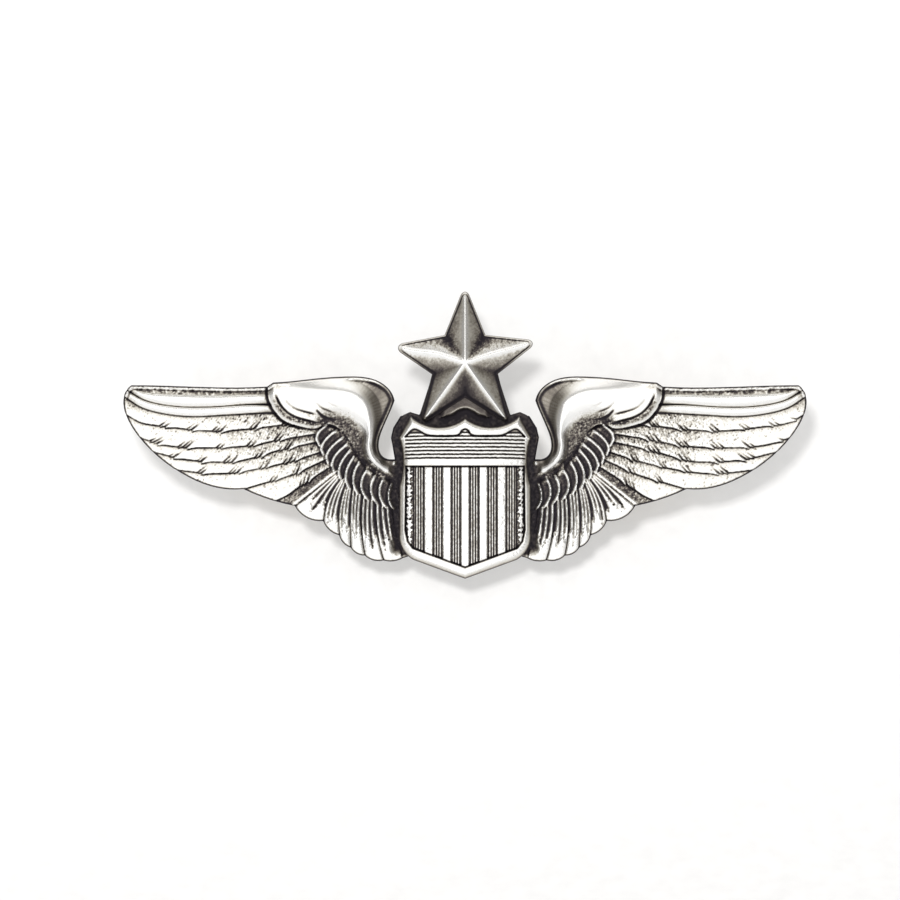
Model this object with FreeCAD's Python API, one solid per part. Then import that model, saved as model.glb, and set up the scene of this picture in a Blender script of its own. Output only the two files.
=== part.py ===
"""Pilot wings pin: a struck silver badge worn on the chest, held by two posts and two butterfly clutches.

Frame, in millimetres: X runs to the viewer's right, Z runs up, and the badge faces -Y. The origin is on the
badge's flat back, halfway between the two posts. Left and right are the viewer's. The two wings mirror each
other in X = 0, so one wing is drawn on the +X side, as (x, z) points, and then mirrored.

Pieces: the wings plate, with a flange behind the shield and a tongue up to the star; the shield; the star; two
headed posts; and for each post a clutch of a keeper disc, a spring cage and two sprung wings with jaws.
"""
import FreeCAD, Part
import math
import os

V = FreeCAD.Vector

# ---- driving dimensions, mm ----
SPAN = 77.0                 # wing tip to wing tip
PLATE = 1.0                 # thickness of the wings plate between its raised feathers
FLIGHT = 1.35               # height of the long feathers above the badge's back
BAND = 1.5                  # height of the two smooth bands along the leading edge
COVERT = 1.6                # height of the row of short feathers
SHOULDER = 1.8              # height of the shoulder
RIDGE_R = 1.15              # radius of the round ridge along the shoulder
RIDGE_SUNK = 0.45           # depth of the ridge's axis below the shoulder
UNDER = PLATE - 0.1         # raised parts start just inside the plate, to be one with it
GROOVE_SHARE = 0.07         # share of a feather's width lost to the groove on each side

STAR_Z = 9.8                # height of the star's centre above the posts
STAR_R = 8.05               # centre to tip
STAR_INNER_R = 3.55         # centre to the corner between two arms
STAR_RIM = 0.5              # thickness of the star at its edge
STAR_RISE = 1.6             # how far the centre stands above the edge

SHIELD_RIM = 2.1            # height of the domed rim above the flange, on the centre line
SHIELD_FIELD = 1.75         # the same for the sunken field
SHIELD_STRIPE = 1.98        # the same for the raised stripes
DOME_R = 32.0               # radius of the shield's dome, across its width
STRIPE_PITCH = 2.05         # between the raised stripes' centres
STRIPE_W = 0.85
STRIPE_PAIRS = 3            # raised stripes on each side of the middle one
FIELD_TOP = -1.75           # top of the striped field
CHIEF_LINES = 7             # engraved lines across the top of the shield
CHIEF_TOP = 1.35
CHIEF_PITCH = 0.4
CHIEF_HALF = 6.3            # half the lines' length
CHIEF_LINE_W = 0.16
CHIEF_LINE_DEPTH = 0.14

POST_X = 19.0               # each post's distance from the middle
POST_R = 0.6
POST_HEAD_R = 2.0
POST_HEAD = 0.4             # thickness of the soldered head
HEAD_GAP = 0.05             # solder gap around the head, in its seat
NOTCH_R = 0.42
NOTCHES = [(2.4, 3.0), (4.6, 5.25)]     # two notches around each post: from, to, above the back
POST_LAND = 5.8             # where the point starts
POST_LENGTH = 7.0
POINT_R = 0.15

DISC_Y = 3.15               # keeper disc's face above the badge's back, with the jaws in the outer notch
DISC_R = 5.6
SHEET = 0.35                # keeper disc's sheet
BORE_R = 0.66               # hole through the disc, and between the jaws
EYELET_R = 1.0
EYELET_TOP = 0.8
EYELET_FLARE = 0.15
LIP_TOP = 1.1               # the disc's rolled lip, which holds the cage's foot
LIP_R = 4.75
LIP_SHEET = 0.25
DISC_EDGE = 0.25            # the disc's bevelled edges

FOOT_R = 5.15               # round foot of the spring cage
FOOT_HOLE_R = 1.3
FOOT = (0.41, 0.73)         # its faces above the disc's face
CAGE_X, CAGE_Z = 3.05, 2.9  # half sizes of the cage's box
CAGE_WALL = 0.3
CAGE_END_TOP = 1.9
PIVOT_X, PIVOT_Y = 2.55, 2.45   # a wing's bend, from the post's axis and above the disc's face
KNUCKLE_R = 0.28
PIVOT_HOLE_R = 0.34
CHEEK_R = 0.6               # round end of the cage's side around each bend
CHEEK_DIP_R, CHEEK_DIP_UP = 0.9, 0.15   # round dip in each side's top, and its centre above the bends

WING_SHEET = 0.3
HALF_SHEET = (-WING_SHEET / 2, WING_SHEET / 2)
WING_LEAN = 32.0            # degrees outwards from the post's axis
WING_LENGTH = 3.9
WING_CURL = 0.7             # length of the turned-out edge
CURL_LEAN = 62.0
WING_ROOT_Z, WING_TIP_Z = 2.3, 3.4      # half widths at the root and at the tip
WING_NECK, WING_FLARE = 0.9, 0.45       # where the wing widens, from the bend, and over what length
WING_CORNER = 1.2
JAW_GAP = 0.12              # each jaw's edge, from the post's axis
JAW_DROP = 0.7              # how far the jaw's edge lies below the bend
JAW_Z = 1.9                 # half the jaw's width


# ---- small helpers; a shape in the plane of the badge is drawn as (x, z) points ----
def at(point, height=0.0):
    """The 3-D point over (x, z), at a height in front of the badge's back."""
    return V(point[0], -height, point[1])


def spline(points):
    curve = Part.BSplineCurve()
    curve.interpolate([at(p) for p in points])
    return curve.toShape()


def line(a, b):
    return Part.makeLine(at(a), at(b))


def bezier(points):
    curve = Part.BezierCurve()
    curve.setPoles([at(p) for p in points])
    return curve.toShape()


def arc(a, middle, b):
    return Part.Arc(at(a), at(middle), at(b)).toShape()


def bulged(a, b, bulge):
    """An arc from a to b that stands out to its left by bulge."""
    dx, dz = b[0] - a[0], b[1] - a[1]
    length = math.hypot(dx, dz)
    middle = ((a[0] + b[0]) / 2 - dz / length * bulge, (a[1] + b[1]) / 2 + dx / length * bulge)
    return arc(a, middle, b)


def prism(outline, low, high):
    """The outline's solid from one height to another in front of the back."""
    face = Part.Face(Part.Wire(outline))
    solid = face.extrude(V(0, low - high, 0))
    solid.translate(V(0, -low, 0))
    return solid


def polygon_prism(points, low, high):
    closed = list(points) + [points[0]]
    return prism([line(a, b) for a, b in zip(closed, closed[1:])], low, high)


def between(a, b, share):
    return (a[0] + (b[0] - a[0]) * share, a[1] + (b[1] - a[1]) * share)


def mirrored(shape):
    return shape.mirror(V(0, 0, 0), V(1, 0, 0))


def revolved(profile):
    """A solid of revolution about Y from (radius, y) points."""
    points = [V(r, y, 0) for r, y in profile]
    face = Part.Face(Part.makePolygon(points + [points[0]]))
    return face.revolve(V(0, 0, 0), V(0, 1, 0), 360)


def box(x, y, z):
    """A box from three (low, high) pairs."""
    return Part.makeBox(x[1] - x[0], y[1] - y[0], z[1] - z[0], V(x[0], y[0], z[0]))


def across(radius, x, y, z):
    """A cylinder along Z between a pair of heights."""
    return Part.makeCylinder(radius, z[1] - z[0], V(x, y, z[0]), V(0, 0, 1))


# ---- the wings plate ----
TIP = SPAN / 2
NECK = [(8.6, -1.05), (9.6, -0.3), (9.75, 0.8), (9.3, 2.4), (8.6, 4.0), (7.95, 5.6)]
SHOULDER_TOP = [(7.95, 5.6), (8.6, 6.9), (10.2, 7.95), (13.0, 8.3), (17.4, 8.0), (21.6, 7.6)]
LEADING_EDGE = [(22.3, 7.15), (27.4, 7.05), (32.5, 7.2), (TIP - 0.9, 7.3)]
TRAILING_EDGE = [(TIP - 0.9, 7.3), (TIP, 5.7), (TIP - 0.3, 3.9), (37.0, 1.8), (34.9, -0.5),
                 (32.0, -2.6), (28.6, -4.1), (25.0, -4.4)]
# corners between the feather tips along the lower edge, and how far each tip bulges past the next corner
SCALLOPS = [((25.0, -4.4), 0.2), ((19.2, -6.3), 0.55), ((16.0, -8.0), 0.3), ((14.2, -9.6), 0.25),
            ((12.9, -11.0), 0.25), ((11.3, -11.9), 0.28), ((9.2, -12.45), 0.22), ((7.0, -12.2), 0.1)]
WING_INNER = [(6.0, -11.9), (6.0, -1.05)]   # the outline closes here, behind the shield

# the lines between the long feathers, each a curve from (root, bend, tip), from the top feather inwards
FEATHER_LINES = [
    ((19.0, 4.0), (28.6, 2.75), (38.2, 5.9)),
    ((17.0, 2.9), (27.4, 1.05), (38.1, 4.0)),
    ((17.1, 1.8), (27.0, -1.05), (36.8, 1.5)),
    ((16.9, 0.9), (26.5, -2.9), (35.4, -0.1)),
    ((16.3, -0.2), (24.8, -3.4), (32.4, -2.3)),
    ((15.8, -1.1), (20.8, -3.3), (25.0, -4.4)),
    ((15.4, -2.0), (18.8, -4.2), (22.1, -5.6)),
    ((14.9, -2.9), (17.2, -4.7), (19.2, -6.3)),
    ((14.3, -3.6), (15.8, -5.6), (16.0, -8.0)),
    ((13.6, -4.3), (14.5, -6.8), (14.2, -9.6)),
    ((12.8, -5.0), (13.1, -8.0), (12.9, -11.0)),
    ((11.6, -5.6), (12.0, -8.8), (11.3, -11.9)),
    ((10.1, -6.2), (10.2, -9.5), (9.2, -12.45)),
    ((8.2, -6.8), (7.9, -9.7), (7.0, -12.2)),
]
# the lines between the short feathers run between these guides: root, under the shoulder, then bend and tip
COVERT_GUIDES = (
    [(14.9, 3.3), (12.8, 0.9), (11.9, -0.6), (9.7, -2.3), (7.9, -3.2)],
    [(17.0, 2.3), (14.9, -1.5), (13.3, -3.0), (11.1, -4.4), (9.0, -5.3)],
    [(17.0, 0.8), (14.3, -3.0), (12.1, -4.8), (9.9, -6.0), (8.2, -6.6)],
)
COVERTS = 11
# the shoulder's outline runs on from its top edge and ends behind the shield; a round ridge follows its middle
SHOULDER_END = [(21.6, 7.6), (22.0, 6.0), (21.6, 4.3), (20.3, 3.2), (17.8, 2.6), (15.3, 3.0)]
SHOULDER_LOWER = [(15.3, 3.0), (13.2, 0.6), (12.3, -0.9), (10.0, -2.6), (8.2, -3.5)]
SHOULDER_INNER = [(7.4, -3.0), (7.4, -1.05)]
RIDGE_PATH = [(20.0, 5.7), (15.5, 6.2), (12.3, 6.1), (10.7, 4.6), (10.6, 2.6), (10.9, 0.9), (10.2, -0.8),
              (8.6, -1.9)]
# two smooth bands along the leading edge, between these three lines
BAND_EDGE = [(22.2, 6.9), (27.4, 6.8), (32.5, 6.95), (37.2, 7.05)]
BAND_LINE = [(22.0, 5.2), (27.0, 4.9), (32.5, 4.95), (37.4, 6.3)]
BAND_LOWER = [(21.6, 4.2), (26.6, 4.0), (32.5, 4.1), (37.6, 5.6)]
BAND_GAP = 0.12


def wing_outline():
    edges = [spline(NECK), spline(SHOULDER_TOP), line(SHOULDER_TOP[-1], LEADING_EDGE[0])]
    edges += [spline(LEADING_EDGE), spline(TRAILING_EDGE)]
    for (corner, bulge), (following, _) in zip(SCALLOPS, SCALLOPS[1:]):
        edges.append(bulged(corner, following, bulge))
    corners = [SCALLOPS[-1][0], *WING_INNER, NECK[0]]
    return edges + [line(a, b) for a, b in zip(corners, corners[1:])]


def feather(upper, lower, height):
    """A raised feather between two lines, with a groove left on each side of it."""
    one = [between(a, b, GROOVE_SHARE) for a, b in zip(upper, lower)]
    other = [between(b, a, GROOVE_SHARE) for a, b in zip(upper, lower)]
    edges = [bezier(one), line(one[-1], other[-1]), bezier(other[::-1]), line(other[0], one[0])]
    return prism(edges, UNDER, height)


def shoulder():
    corners = [SHOULDER_LOWER[-1], *SHOULDER_INNER, NECK[0]]
    edges = [spline(SHOULDER_TOP), spline(SHOULDER_END), spline(SHOULDER_LOWER)]
    edges += [line(a, b) for a, b in zip(corners, corners[1:])] + [spline(NECK)]
    slab = prism(edges, UNDER, SHOULDER)
    path = Part.BSplineCurve()
    path.interpolate([at(p, SHOULDER - RIDGE_SUNK) for p in RIDGE_PATH])
    start = path.value(path.FirstParameter)
    circle = Part.makeCircle(RIDGE_R, start, path.tangent(path.FirstParameter)[0])
    ridge = Part.Wire([path.toShape()]).makePipeShell([Part.Wire([circle])], True, False)
    ridge = ridge.fuse(Part.makeSphere(RIDGE_R, start))
    return slab.fuse(ridge.common(prism(wing_outline(), UNDER, TALL)))


def raised_parts():
    """Everything that stands up from one wing: long feathers, short feathers, two bands and the shoulder."""
    raised = [feather(a, b, FLIGHT) for a, b in zip(FEATHER_LINES, FEATHER_LINES[1:])]
    guides = [spline(points).discretize(COVERTS + 1) for points in COVERT_GUIDES]
    lines = [[(p.x, p.z) for p in row] for row in zip(*guides)]
    raised += [feather(a, b, COVERT) for a, b in zip(lines, lines[1:])]
    for upper, lower, gap in ((BAND_EDGE, BAND_LINE, 0.0), (BAND_LINE, BAND_LOWER, BAND_GAP)):
        top = [(x, z - gap) for x, z in upper]
        edges = [spline(top), line(top[-1], lower[-1]), spline(lower[::-1]), line(lower[0], top[0])]
        raised.append(prism(edges, UNDER, BAND))
    return raised + [shoulder()]


# ---- the flange behind the shield, and the tongue behind the star ----
FLANGE = [(0.0, 4.1), (3.0, 3.3), (6.2, 4.3), (7.3, 3.8), (8.1, 2.5), (8.35, 1.4), (8.1, 0.0), (7.9, -1.2),
          (7.0, -2.0), (7.0, -11.2), (5.8, -12.35), (0.0, -14.3)]
TONGUE = [(0.0, 2.8), (5.3, 2.8), (5.3, 3.4), (3.65, 8.55), (1.8, 10.8), (0.0, 10.8)]


def wings_plate():
    flat = [polygon_prism(FLANGE, 0, PLATE), polygon_prism(TONGUE, 0, PLATE)]
    room = prism(wing_outline(), 0, TALL)
    half = prism(wing_outline(), 0, PLATE).fuse(flat + [shape.common(room) for shape in raised_parts()])
    # nothing stands up where the shield sits, and each post's head has its seat in the back
    half = half.cut(prism(shield_outline().makeOffset2D(SEAT_GAP), PLATE, PLATE + TALL))
    half = half.cut(Part.makeCylinder(POST_HEAD_R + HEAD_GAP, POST_HEAD, V(POST_X, 0, 0), V(0, -1, 0)))
    return half.fuse(mirrored(half)).removeSplitter()


# ---- the shield, drawn as its +X half from the top down ----
SHIELD_PEAK = (0.0, 3.6)
SWAG_LOW = (3.1, 2.6)
SHIELD_SIDE = [(6.1, 3.8), (7.45, 1.4), (7.0, -0.9), (7.4, -4.0)]
SHIELD_LOW = [(7.4, -9.3), (7.0, -11.2), (5.8, -12.35)]
SHIELD_TIP = (0.0, -14.45)
FIELD_LOW = [(6.8, -9.0), (6.55, -10.3), (5.9, -11.1)]
FIELD_TIP = (0.0, -13.25)
SEAT_GAP = 0.05             # clear of the shield's edge on the wings plate
TALL = 4.0                  # a cut this high clears everything on the badge's front


def both_halves(right):
    """A closed outline from the edges of its +X half."""
    return Part.Wire(Part.__sortEdges__(right + [mirrored(edge) for edge in right]))


def shield_outline():
    corner, *waist = SHIELD_SIDE
    top = [arc(SHIELD_PEAK, SWAG_LOW, corner), line(corner, waist[0]), spline(waist)]
    low = [line(waist[-1], SHIELD_LOW[0]), arc(*SHIELD_LOW), line(SHIELD_LOW[-1], SHIELD_TIP)]
    return both_halves(top + low)


def field_outline():
    corner = (FIELD_LOW[0][0], FIELD_TOP)
    top = [line((0.0, FIELD_TOP), corner), line(corner, FIELD_LOW[0])]
    return both_halves(top + [arc(*FIELD_LOW), line(FIELD_LOW[-1], FIELD_TIP)])


def dome(height):
    """The round solid that limits the shield's surface, this high above the flange on the centre line."""
    axis_height = PLATE + height - DOME_R
    return Part.makeCylinder(DOME_R, 2 * DOME_R, V(0, -axis_height, -DOME_R), V(0, 0, 1))


def bars(xs, zs):
    """A bar over the shield for each pair of an x span and a z span, as tall as any cut."""
    return Part.makeCompound([box(x, (-PLATE - TALL, -PLATE), z) for x in xs for z in zs])


def spans(centres, width):
    return [(centre - width / 2, centre + width / 2) for centre in centres]


def shield():
    body = prism(shield_outline(), PLATE, PLATE + TALL).common(dome(SHIELD_RIM))
    sunk = prism(field_outline(), PLATE, PLATE + TALL).cut(dome(SHIELD_FIELD))
    centres = [i * STRIPE_PITCH for i in range(-STRIPE_PAIRS, STRIPE_PAIRS + 1)]
    stripes = bars(spans(centres, STRIPE_W), [(SHIELD_TIP[1], FIELD_TOP)]).common(dome(SHIELD_STRIPE))
    heights = [CHIEF_TOP - i * CHIEF_PITCH for i in range(CHIEF_LINES)]
    lines = bars([(-CHIEF_HALF, CHIEF_HALF)], spans(heights, CHIEF_LINE_W))
    return body.cut(sunk.cut(stripes)).cut(lines.cut(dome(SHIELD_RIM - CHIEF_LINE_DEPTH)))


# ---- the star ----
def star():
    """Ten flat facets over a thin rim; the ridges run to the tips and the valleys to the inner corners."""
    outline = []
    for i in range(10):
        radius = STAR_R if i % 2 == 0 else STAR_INNER_R
        angle = math.radians(90 - 36 * i)
        outline.append((radius * math.cos(angle), STAR_Z + radius * math.sin(angle)))
    low, high = PLATE, PLATE + STAR_RIM
    rim = polygon_prism(outline, low, high)
    apex = at((0.0, STAR_Z), high + STAR_RISE)
    faces = [Part.Face(Part.makePolygon([at(p, high) for p in outline + [outline[0]]]))]
    for a, b in zip(outline, outline[1:] + [outline[0]]):
        faces.append(Part.Face(Part.makePolygon([at(a, high), at(b, high), apex, at(a, high)])))
    facets = Part.Solid(Part.Shell(faces))
    if facets.Volume < 0:
        facets.reverse()
    return rim.fuse(facets).removeSplitter()


# ---- posts and clutches, drawn with the post's axis on Y and then moved to +-POST_X ----
def post():
    """A thin round head in its seat, a notched shaft and a blunt point."""
    profile = [(0, -POST_HEAD), (POST_HEAD_R, -POST_HEAD), (POST_HEAD_R, 0), (POST_R, 0)]
    for start, end in NOTCHES:
        profile += [(POST_R, start), (NOTCH_R, start), (NOTCH_R, end), (POST_R, end)]
    profile += [(POST_R, POST_LAND), (POINT_R, POST_LENGTH - 0.1), (0, POST_LENGTH)]
    return revolved(profile)


def keeper_disc():
    """A pressed cup with an eyelet for the post and a lip rolled in over the cage's foot."""
    outside = [
        (BORE_R + DISC_EDGE, 0), (DISC_R - DISC_EDGE, 0), (DISC_R, DISC_EDGE), (DISC_R, LIP_TOP - DISC_EDGE),
        (DISC_R - DISC_EDGE, LIP_TOP), (LIP_R, LIP_TOP),
    ]
    inside = [
        (LIP_R, LIP_TOP - LIP_SHEET), (DISC_R - SHEET, LIP_TOP - LIP_SHEET), (DISC_R - SHEET, SHEET),
        (EYELET_R + EYELET_FLARE, SHEET), (EYELET_R, SHEET + EYELET_FLARE), (EYELET_R, EYELET_TOP),
        (BORE_R, EYELET_TOP), (BORE_R, DISC_EDGE),
    ]
    return revolved(outside + inside)


def spring_cage():
    """A round foot with a box on it: low end walls, and cheeks that carry each wing's bend."""
    low = FOOT[1] - 0.02
    pieces = []
    for side in (-1, 1):
        wall = sorted((side * CAGE_X, side * (CAGE_X - CAGE_WALL)))
        pieces.append(box(wall, (low, CAGE_END_TOP), (-CAGE_Z, CAGE_Z)))
        cheek = sorted((side * CAGE_Z, side * (CAGE_Z - CAGE_WALL)))
        plate = box((-CAGE_X, CAGE_X), (low, PIVOT_Y), cheek)
        plate = plate.fuse([across(CHEEK_R, end * PIVOT_X, PIVOT_Y, cheek) for end in (-1, 1)])
        pieces.append(plate.cut(across(CHEEK_DIP_R, 0, PIVOT_Y + CHEEK_DIP_UP, cheek)))
    foot = revolved([(FOOT_HOLE_R, FOOT[0]), (FOOT_R, FOOT[0]), (FOOT_R, FOOT[1]), (FOOT_HOLE_R, FOOT[1])])
    holes = [across(PIVOT_HOLE_R, end * PIVOT_X, PIVOT_Y, (-CAGE_Z, CAGE_Z)) for end in (-1, 1)]
    return foot.fuse(pieces).cut(holes).removeSplitter()


def jaw():
    """From the bend down to the post, with half of a round hole that fits it."""
    reach = PIVOT_X - JAW_GAP
    plate = box((-math.hypot(reach, JAW_DROP), 0), HALF_SHEET, (-JAW_Z, JAW_Z))
    plate.rotate(V(0, 0, 0), V(0, 0, 1), math.degrees(math.atan2(JAW_DROP, reach)))
    plate.translate(V(PIVOT_X, PIVOT_Y, 0))
    return plate.cut(Part.makeCylinder(BORE_R, 2 * PIVOT_Y, V(0, 0, 0), V(0, 1, 0)))


def finger_wing():
    """From the bend outwards. It's drawn level, with its length along +X, then stood up at its lean."""
    edge = [(0.0, WING_ROOT_Z), (WING_NECK, WING_ROOT_Z), (WING_NECK + WING_FLARE, WING_TIP_Z),
            (WING_LENGTH, WING_TIP_Z)]
    flat = polygon_prism(edge + [(x, -z) for x, z in reversed(edge)], *HALF_SHEET)
    fold = across(WING_SHEET / 2, WING_LENGTH, 0, (-WING_TIP_Z, WING_TIP_Z))
    curl = box((0, WING_CURL), HALF_SHEET, (-WING_TIP_Z, WING_TIP_Z))
    curl.rotate(V(0, 0, 0), V(0, 0, 1), WING_LEAN - CURL_LEAN)
    curl.translate(V(WING_LENGTH, 0, 0))
    whole = flat.fuse([fold, curl])
    # two rounded corners: the sheet is kept inside this outline, which runs past its root
    start, end, half = -1.0, WING_LENGTH + WING_CURL, WING_TIP_Z
    side, turn = end - WING_CORNER, half - WING_CORNER
    bend = WING_CORNER * math.sqrt(0.5)
    outline = [line((start, half), (side, half)), arc((side, half), (side + bend, turn + bend), (end, turn)),
               line((end, turn), (end, -turn)), arc((end, -turn), (side + bend, -turn - bend), (side, -half)),
               line((side, -half), (start, -half)), line((start, -half), (start, half))]
    whole = whole.common(prism(outline, -WING_CORNER, WING_CORNER))
    whole.rotate(V(0, 0, 0), V(0, 0, 1), 90 - WING_LEAN)
    whole.translate(V(PIVOT_X, PIVOT_Y, 0))
    return whole


def sprung_wing():
    """The wing on the +X side of its post: a knuckle at the bend, a jaw to the post and a finger wing."""
    knuckle = across(KNUCKLE_R, PIVOT_X, PIVOT_Y, (-CAGE_Z, CAGE_Z))
    return knuckle.fuse([jaw(), finger_wing()]).removeSplitter()


def export(name, shape):
    solids = shape.Solids
    if not all(s.isValid() and s.Volume > 0 for s in solids) or not solids:
        raise SystemExit(f"{name}: not a valid solid")
    print(f"{name}: {len(solids)} solid(s), {sum(s.Volume for s in solids):.2f} mm3")
    result = solids[0] if len(solids) == 1 else Part.makeCompound(solids)
    result.exportStep(f"parts/{name}.step")


def right_post_and_clutch():
    """Every piece on the right-hand post; the left-hand ones mirror them."""
    return {
        "post": post(),
        "clutch_keeper_disc": keeper_disc(),
        "clutch_spring_cage": spring_cage(),
        "clutch_outer_wing": sprung_wing(),
        "clutch_inner_wing": mirrored(sprung_wing()),
    }


def main():
    os.makedirs("parts", exist_ok=True)
    export("wings_plate", wings_plate())
    export("shield", shield())
    export("star", star())
    for name, shape in right_post_and_clutch().items():
        height = 0 if name == "post" else DISC_Y
        shape.translate(V(POST_X, height, 0))
        export(f"right_{name}", shape)
        export(f"left_{name}", mirrored(shape))


main()
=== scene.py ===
"""Pilot wings pin: the detailed antique-silver relief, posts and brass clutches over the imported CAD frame.

Lengths in this file are millimetres unless a comment says metres; Blender gets metres through MM.
The badge faces -Y, so the height of the relief is measured from its flat back towards the viewer.
"""

import math

import bpy
import numpy as np
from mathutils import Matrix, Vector
from mathutils.geometry import tessellate_polygon


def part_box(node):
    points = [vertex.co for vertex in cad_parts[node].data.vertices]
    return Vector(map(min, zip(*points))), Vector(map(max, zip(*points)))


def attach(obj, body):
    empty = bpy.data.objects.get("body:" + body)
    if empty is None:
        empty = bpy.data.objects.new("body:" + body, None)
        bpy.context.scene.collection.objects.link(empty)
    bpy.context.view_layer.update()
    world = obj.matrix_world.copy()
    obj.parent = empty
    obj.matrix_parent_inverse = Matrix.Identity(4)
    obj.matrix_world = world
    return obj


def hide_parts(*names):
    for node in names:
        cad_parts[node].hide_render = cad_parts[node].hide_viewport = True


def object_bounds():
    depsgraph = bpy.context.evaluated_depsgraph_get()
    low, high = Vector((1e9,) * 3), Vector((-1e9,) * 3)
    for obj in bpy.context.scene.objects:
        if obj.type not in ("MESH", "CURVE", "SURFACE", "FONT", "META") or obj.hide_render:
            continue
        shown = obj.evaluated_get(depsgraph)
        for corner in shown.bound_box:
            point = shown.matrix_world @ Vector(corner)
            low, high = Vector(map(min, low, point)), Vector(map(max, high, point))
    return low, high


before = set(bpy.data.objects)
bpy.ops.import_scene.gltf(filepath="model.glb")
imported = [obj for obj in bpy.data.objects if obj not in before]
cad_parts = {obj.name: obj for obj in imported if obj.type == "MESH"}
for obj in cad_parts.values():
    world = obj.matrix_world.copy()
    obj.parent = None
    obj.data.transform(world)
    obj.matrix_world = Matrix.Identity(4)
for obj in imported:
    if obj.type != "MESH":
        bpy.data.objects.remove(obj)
cad_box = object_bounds()

MM = 0.001
SOFT = 0.045          # half width of the step at the edge of an overlapping feather
LINES_END = 1.5       # how far feather and band lines run on past the wing's rim


# ---- small maths

def smooth(low, high, value):
    """0 below low, 1 above high, and a soft S between them."""
    t = np.clip((value - low) / (high - low), 0.0, 1.0)
    return t * t * (3.0 - 2.0 * t)


def bell(distance, width):
    """1 on the line, falling to almost nothing two widths away."""
    return np.exp(-(distance / width) ** 2)


def mix(under, over, share):
    return under + (over - under) * share


def curve(points, per_span=8):
    """A smooth path through the points (Catmull-Rom), straight on at both ends."""
    p = np.asarray(points, float)
    p = np.vstack([2 * p[0] - p[1], p, 2 * p[-1] - p[-2]])
    t = np.linspace(0.0, 1.0, per_span, endpoint=False)[:, None]
    spans = []
    for a, b, c, d in zip(p[:-3], p[1:-2], p[2:-1], p[3:]):
        spans.append(b + 0.5 * t * (c - a + t * (2 * a - 5 * b + 4 * c - d + t * (3 * (b - c) + d - a))))
    return np.vstack(spans + [p[-2:-1]])


def bent(root, bend, tip, steps=20):
    """A path from root to tip that leaves towards bend and arrives from it (quadratic Bezier)."""
    t = np.linspace(0.0, 1.0, steps + 1)[:, None]
    root, bend, tip = (np.asarray(p, float) for p in (root, bend, tip))
    return (1 - t) ** 2 * root + 2 * t * (1 - t) * bend + t ** 2 * tip


def through(start, middle, end, steps=20):
    """An even arc through three points."""
    start, middle, end = (np.asarray(p, float) for p in (start, middle, end))
    return bent(start, 2 * middle - 0.5 * (start + end), end, steps)


def longer(path, before=0.0, after=0.0):
    """The path with straight pieces added at its ends."""
    first = path[0] - path[1]
    last = path[-1] - path[-2]
    first = path[0] + first / np.hypot(*first) * before
    last = path[-1] + last / np.hypot(*last) * after
    return np.vstack([first, path[1:-1], last])


# ---- the grid the relief is drawn on

class Grid:
    """A square grid over a part of the badge's face, X to the viewer's right and Z up."""

    def __init__(self, low, high, step):
        self.step = step
        self.xs = np.arange(low[0], high[0] + step, step)
        self.zs = np.arange(low[1], high[1] + step, step)
        self.X, self.Z = np.meshgrid(self.xs, self.zs)

    def trace(self, path, reach=1e3):
        """Signed distance to a path (plus on its left) and how far along it the nearest point is."""
        near = np.full(self.X.shape, float(reach))
        along = np.zeros(self.X.shape)
        side = np.ones(self.X.shape)
        start = 0.0
        for a, b in zip(path[:-1], path[1:]):
            dx, dz = b - a
            length = math.hypot(dx, dz)
            if length < 1e-9:
                continue
            low, high = np.minimum(a, b) - reach, np.maximum(a, b) + reach
            columns = slice(*np.searchsorted(self.xs, (low[0], high[0])))
            w = slice(*np.searchsorted(self.zs, (low[1], high[1]))), columns
            px, pz = self.X[w] - a[0], self.Z[w] - a[1]
            t = np.clip((px * dx + pz * dz) / length ** 2, 0.0, 1.0)
            distance = np.hypot(px - t * dx, pz - t * dz)
            closer = distance < near[w]
            near[w] = np.where(closer, distance, near[w])
            along[w] = np.where(closer, start + t * length, along[w])
            side[w] = np.where(closer, np.where(dx * pz - dz * px >= 0, 1.0, -1.0), side[w])
            start += length
        return near * side, along, start

    def inside(self, loop, reach=1.5):
        """Distance inside a closed outline (minus outside), exact up to reach."""
        ends = np.roll(loop, -1, axis=0)
        within = np.zeros(self.X.shape, bool)
        for j, z in enumerate(self.zs):
            crosses = (loop[:, 1] > z) != (ends[:, 1] > z)
            a, b = loop[crosses], ends[crosses]
            at = np.sort(a[:, 0] + (z - a[:, 1]) / (b[:, 1] - a[:, 1]) * (b[:, 0] - a[:, 0]))
            within[j] = np.searchsorted(at, self.xs) % 2 == 1
        distance = np.abs(self.trace(np.vstack([loop, loop[:1]]), reach)[0])
        return np.where(within, distance, -distance)

    def grain(self, rng, size):
        """Soft random speckle with grains of about this size, mean 0 and spread 1."""
        noise = blur(rng.standard_normal(self.X.shape), size / self.step / 2.0)
        return noise / noise.std()


def grid_over(low, high, fine):
    step = fine
    return Grid(np.array(low) - 2 * step, np.array(high) + 2 * step, step)


def blur(field, sigma):
    """Gaussian blur, sigma in grid steps, with the edges held."""
    radius = max(1, int(3 * sigma))
    kernel = np.exp(-0.5 * (np.arange(-radius, radius + 1) / max(sigma, 1e-3)) ** 2)
    kernel /= kernel.sum()
    out = np.pad(field, radius, mode="edge")
    out = sum(k * out[n:n + field.shape[0], :] for n, k in enumerate(kernel))
    return sum(k * out[:, n:n + field.shape[1]] for n, k in enumerate(kernel))


# ---- outlines from the frame

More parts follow.
